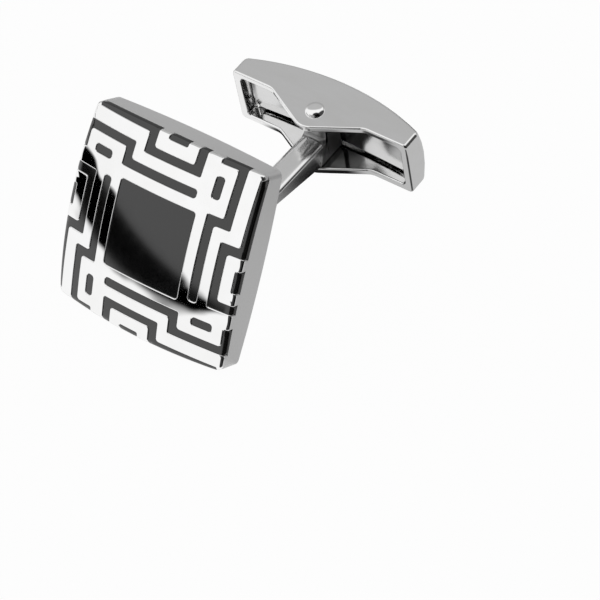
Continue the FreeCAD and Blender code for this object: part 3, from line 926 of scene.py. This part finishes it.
half_profile = [(SHANK, 0, 1, 0), (SHANK, TOGGLE_SIDE, 1, 0), (SHANK, TOGGLE_SIDE, 0, -1),
                (HEAD, TOGGLE_SIDE, 0, -1)]
for k in range(HEAD_STEPS):
    angle = math.pi / 2 * k / HEAD_STEPS
    half_profile.append((HEAD * math.cos(angle), TOGGLE_SIDE + HEAD_RISE * math.sin(angle),
                         HEAD_RISE * math.cos(angle), HEAD * math.sin(angle)))
profile = [(r, -w, nr, -nw) for r, w, nr, nw in half_profile[:0:-1]] + half_profile
rivet_skin = Skin()
rings = []
for r, w, nr, nw in profile:
    rings.append(rivet_skin.ring([(r * math.cos(a), r * math.sin(a), w) for a in around],
                                 [(nr * math.cos(a), nr * math.sin(a), nw) for a in around]))
rivet_skin.band(rings)
for ring, end in ((rings[0], -1), (rings[-1], 1)):
    tip = rivet_skin.point((0, 0, end * (TOGGLE_SIDE + HEAD_RISE)), (0, 0, end))
    for i in range(len(ring)):
        rivet_skin.face([ring[i], ring[(i + 1) % len(ring)], tip])

rivet_plate = plated("rivet_plate", tone=0.9, dull=0.06, grain=1400, stretch_by=(1, 1, 1),
                     grain_depth=4e-7, spread=0.02)
rivet = rivet_skin.build("swivel_rivet", [rivet_plate], IN_TOGGLE)
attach(rivet, "toggle")
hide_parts("rivet_pin")


# Leaf spring: a blanked strip of spring steel in the channel, with its ends on the channel's floor. The
# eye's corner bows its middle back as the toggle turns, so it snaps straight or in line with the arm.
# The strip is drawn as far back as the corner presses it, which leaves the eye free at every angle.

SPRING_NEAR = 1.27
SPRING_FAR = 1.57
SPRING_EDGE = 0.05
SPRING_BOW = 0.28
SPRING_SIDE = 1.8
SPRING_CORNER = 0.8
SPRING_GAP = 0.02
SPRING_STEPS = 3
SPRING_GRID = 1.0
spring_depth = SPRING_FAR + SPRING_GAP - SPINE_LEVEL + SPINE_RADIUS
spring_half = math.sqrt((SPINE_RADIUS - FLOOR_WALL) ** 2 - spring_depth ** 2)
spring_plan = rounded([(u * spring_half, w * SPRING_SIDE, SPRING_CORNER)
                       for u, w in ((-1, -1), (1, -1), (1, 1), (-1, 1))])


def spring_face(u, w, level, facing):
    """A place on one face of the bowed strip and the normal there."""
    slope = -2 * SPRING_BOW * u / spring_half ** 2
    bow = SPRING_BOW * (1 - (u / spring_half) ** 2)
    return (u, level + bow, w), Vector((-facing * slope, facing, 0)).normalized()


spring_skin = Skin()
spring_steps = borders(spring_plan)
spring_out = outwards(spring_plan)
rings = []
for level, facing in ((SPRING_NEAR, -1), (SPRING_FAR, 1)):
    for k in range(SPRING_STEPS + 1):
        angle = math.pi / 2 * (1 - k / SPRING_STEPS if facing == -1 else k / SPRING_STEPS)
        inset = SPRING_EDGE * (1 - math.cos(angle))
        plan = [(p[0] + s.x * inset, p[1] + s.y * inset) for p, s in zip(spring_plan, spring_steps)]
        height = level - facing * SPRING_EDGE * (1 - math.sin(angle))
        places, normals = zip(*[spring_face(u, w, height, facing) for u, w in plan])
        leaning = [o * math.cos(angle) + n * math.sin(angle) for o, n in zip(spring_out, normals)]
        rings.append(spring_skin.ring(places, leaning))
spring_skin.band(rings)
face_plan = moved(spring_plan, SPRING_EDGE)
spring_skin.cover([rings[0]], [face_plan], lambda u, w: spring_face(u, w, SPRING_NEAR, -1), SPRING_GRID)
spring_skin.cover([rings[-1]], [face_plan], lambda u, w: spring_face(u, w, SPRING_FAR, 1), SPRING_GRID)

spring_steel = plated("spring_steel", tone=0.72, dull=0.15, grain=1200, stretch_by=(0.1, 1, 6),
                      grain_depth=1e-6, spread=0.05, sway=1e-4)
spring = spring_skin.build("leaf_strip", [spring_steel], IN_TOGGLE)
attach(spring, "toggle")
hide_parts("leaf_spring")


# Studio: a white floor, a white tent of light with a grey top, and a dark gap between the tent and the
# table that the polished face reflects. The camera stands where the photograph was taken.

FLOOR_HALF = 2
FLOOR_GAP = 0.00005
CARD_HALF = 0.05
CARD_LENGTH = 0.07
CARD_RISE = 0.5456


def sheet(name, corners):
    """A flat sheet between four corners, in metres."""
    mesh = bpy.data.meshes.new(name)
    mesh.from_pydata(corners, [], [(0, 1, 2, 3)])
    piece = bpy.data.objects.new(name, mesh)
    bpy.context.scene.collection.objects.link(piece)
    return piece


floor_level = cad_low.z - FLOOR_GAP
floor = sheet("studio_floor", [(x * FLOOR_HALF, y * FLOOR_HALF, floor_level)
                               for x, y in ((-1, -1), (1, -1), (1, 1), (-1, 1))])
floor.visible_glossy = False
floor_white = bpy.data.materials.new("floor_white")
floor_white.use_nodes = True
nodes, links = floor_white.node_tree.nodes, floor_white.node_tree.links
nodes.clear()
path = nodes.new("ShaderNodeLightPath")
matte = nodes.new("ShaderNodeBsdfDiffuse")
matte.inputs["Color"].default_value = (0.9, 0.9, 0.9, 1)
glow = nodes.new("ShaderNodeEmission")
glow.inputs["Strength"].default_value = 1.0
share = nodes.new("ShaderNodeMath")
share.operation = "MULTIPLY"
share.inputs[1].default_value = 0.965
blend = nodes.new("ShaderNodeMixShader")
surface = nodes.new("ShaderNodeOutputMaterial")
links.new(path.outputs["Is Camera Ray"], share.inputs[0])
links.new(share.outputs["Value"], blend.inputs["Fac"])
links.new(matte.outputs["BSDF"], blend.inputs[1])
links.new(glow.outputs["Emission"], blend.inputs[2])
links.new(blend.outputs["Shader"], surface.inputs["Surface"])
floor.data.materials.append(floor_white)
floor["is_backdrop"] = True

# The table as the metal shows it: a glowing card with painted light, brighter on the left, and painted
# shadows under, beside and behind the toggle.
# It slopes from the plate's lower edge to the rivet's head, as the cufflink lay in the photograph, and only
# reflections see it.
card_top = floor_level + CARD_LENGTH * CARD_RISE
card = sheet("painted_table_card", [(-CARD_HALF, 0.0, floor_level), (CARD_HALF, 0.0, floor_level),
                            (CARD_HALF, CARD_LENGTH, card_top), (-CARD_HALF, CARD_LENGTH, card_top)])
card.visible_camera = card.visible_diffuse = card.visible_transmission = card.visible_shadow = False
painted_light_card = bpy.data.materials.new("painted_light_card")
painted_light_card.use_nodes = True
nodes, links = painted_light_card.node_tree.nodes, painted_light_card.node_tree.links
nodes.clear()
spot = nodes.new("ShaderNodeTexCoord")
sides = nodes.new("ShaderNodeSeparateXYZ")
links.new(spot.outputs["Object"], sides.inputs["Vector"])


def ramp(measure, start, stop, at_start, at_stop):
    """A value that eases from one to another while a measure goes from a start to a stop."""
    ease = nodes.new("ShaderNodeMapRange")
    ease.interpolation_type = "SMOOTHSTEP"
    for key, value in (("From Min", start), ("From Max", stop), ("To Min", at_start), ("To Max", at_stop)):
        ease.inputs[key].default_value = value
    links.new(measure, ease.inputs["Value"])
    return ease.outputs["Result"]


def product(*factors):
    whole = factors[0]
    for factor in factors[1:]:
        node = nodes.new("ShaderNodeMath")
        node.operation = "MULTIPLY"
        links.new(whole, node.inputs[0])
        links.new(factor, node.inputs[1])
        whole = node.outputs["Value"]
    return whole


def lacking(share):
    """What a share leaves of the whole."""
    node = nodes.new("ShaderNodeMath")
    node.operation = "SUBTRACT"
    node.inputs[0].default_value = 1.0
    links.new(share, node.inputs[1])
    return node.outputs["Value"]


across, behind = sides.outputs["X"], sides.outputs["Y"]
# Painted shadows of the toggle on the card: under it, beside its right end and behind its left end.
painted_shadow_under_toggle = product(ramp(across, -0.0075, -0.0055, 0.0, 1.0), ramp(across, 0.003, 0.0048, 1.0, 0.0),
                       ramp(behind, 0.0102, 0.0184, 0.0, 0.985))
painted_shadow_beside_toggle = product(ramp(across, 0.0084, 0.0092, 0.0, 0.9), ramp(across, 0.0132, 0.0148, 1.0, 0.0),
                        ramp(behind, 0.0135, 0.0155, 0.0, 1.0), ramp(behind, 0.02, 0.0208, 1.0, 0.0))
painted_shadow_behind_toggle = product(ramp(across, -0.0095, -0.0085, 1.0, 0.0), ramp(behind, 0.0203, 0.0212, 0.0, 0.75),
                        ramp(behind, 0.026, 0.03, 1.0, 0.0))
# Painted light: the card glows brighter on the left and darker where the painted shadows fall.
painted_table_light = product(ramp(across, -0.008, 0.006, 0.95, 0.55), lacking(painted_shadow_under_toggle), lacking(painted_shadow_beside_toggle),
              lacking(painted_shadow_behind_toggle))
glow = nodes.new("ShaderNodeEmission")
surface = nodes.new("ShaderNodeOutputMaterial")
links.new(painted_table_light, glow.inputs["Strength"])
links.new(glow.outputs["Emission"], surface.inputs["Surface"])
card.data.materials.append(painted_light_card)
card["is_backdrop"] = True

world = bpy.data.worlds.new("studio_tent")
bpy.context.scene.world = world
world.use_nodes = True
nodes, links = world.node_tree.nodes, world.node_tree.links
nodes.clear()
direction = nodes.new("ShaderNodeTexCoord")


def sight(toward, low, high, at_low, at_high):
    """A value that eases from one to another as a direction turns towards a given one."""
    dot = nodes.new("ShaderNodeVectorMath")
    dot.operation = "DOT_PRODUCT"
    dot.inputs[1].default_value = toward
    links.new(direction.outputs["Generated"], dot.inputs[0])
    return ramp(dot.outputs["Value"], low, high, at_low, at_high)


table_up = (0.077, -0.639, 0.765)
wall = sight(table_up, 0.16, 0.5, 0.99, 1.02)
ceiling = sight((-0.5, 0.25, 0.83), 0.7, 0.82, 1.0, 0.5)
dark_right = sight((0.93, 0.0, 0.1), 0.48, 0.68, 1.0, 0.06)
dark_front = sight((0.7, -0.65, -0.3), 0.715, 0.79, 1.0, 0.04)
opening = sight((0.457, -0.805, 0.378), 0.84, 0.93, 1.0, 0.03)
in_tent = sight(table_up, 0.14, 0.168, 0.0, 1.0)
on_table = sight((-0.400, -0.881, 0.252), 0.655, 0.688, 1.0, 0.0)
far_table = sight((-0.3, 0.9, 0.3), 0.2, 0.7, 1.0, 0.4)
both = nodes.new("ShaderNodeMath")
both.operation = "ADD"
links.new(product(wall, ceiling, in_tent), both.inputs[0])
links.new(product(far_table, on_table, lacking(in_tent)), both.inputs[1])
path = nodes.new("ShaderNodeLightPath")
seen = nodes.new("ShaderNodeMath")
seen.operation = "MAXIMUM"
links.new(product(both.outputs["Value"], dark_right, dark_front, opening), seen.inputs[0])
links.new(path.outputs["Is Camera Ray"], seen.inputs[1])
sky = nodes.new("ShaderNodeBackground")
output = nodes.new("ShaderNodeOutputWorld")
links.new(seen.outputs["Value"], sky.inputs["Strength"])
links.new(sky.outputs["Background"], output.inputs["Surface"])
sky.inputs["Color"].default_value = (1, 1, 1, 1)

camera_data = bpy.data.cameras.new("photo_camera")
camera_data.lens = 157.27
camera_data.sensor_width = 36
camera_data.clip_start = 0.01
camera_data.clip_end = 20
camera = bpy.data.objects.new("photo_camera", camera_data)
bpy.context.scene.collection.objects.link(camera)
stand = Vector((103.85, -161.069, 74.965)) * MM
aim = Vector((9.871, 4.256, -2.787)) * MM
camera.rotation_mode = "QUATERNION"
camera.location = stand
roll = Quaternion((0, 0, 1), math.radians(13.794))
camera.rotation_quaternion = (aim - stand).to_track_quat("-Z", "Y") @ roll
bpy.context.scene.camera = camera
bpy.context.scene.view_settings.view_transform = "Standard"

low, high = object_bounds()
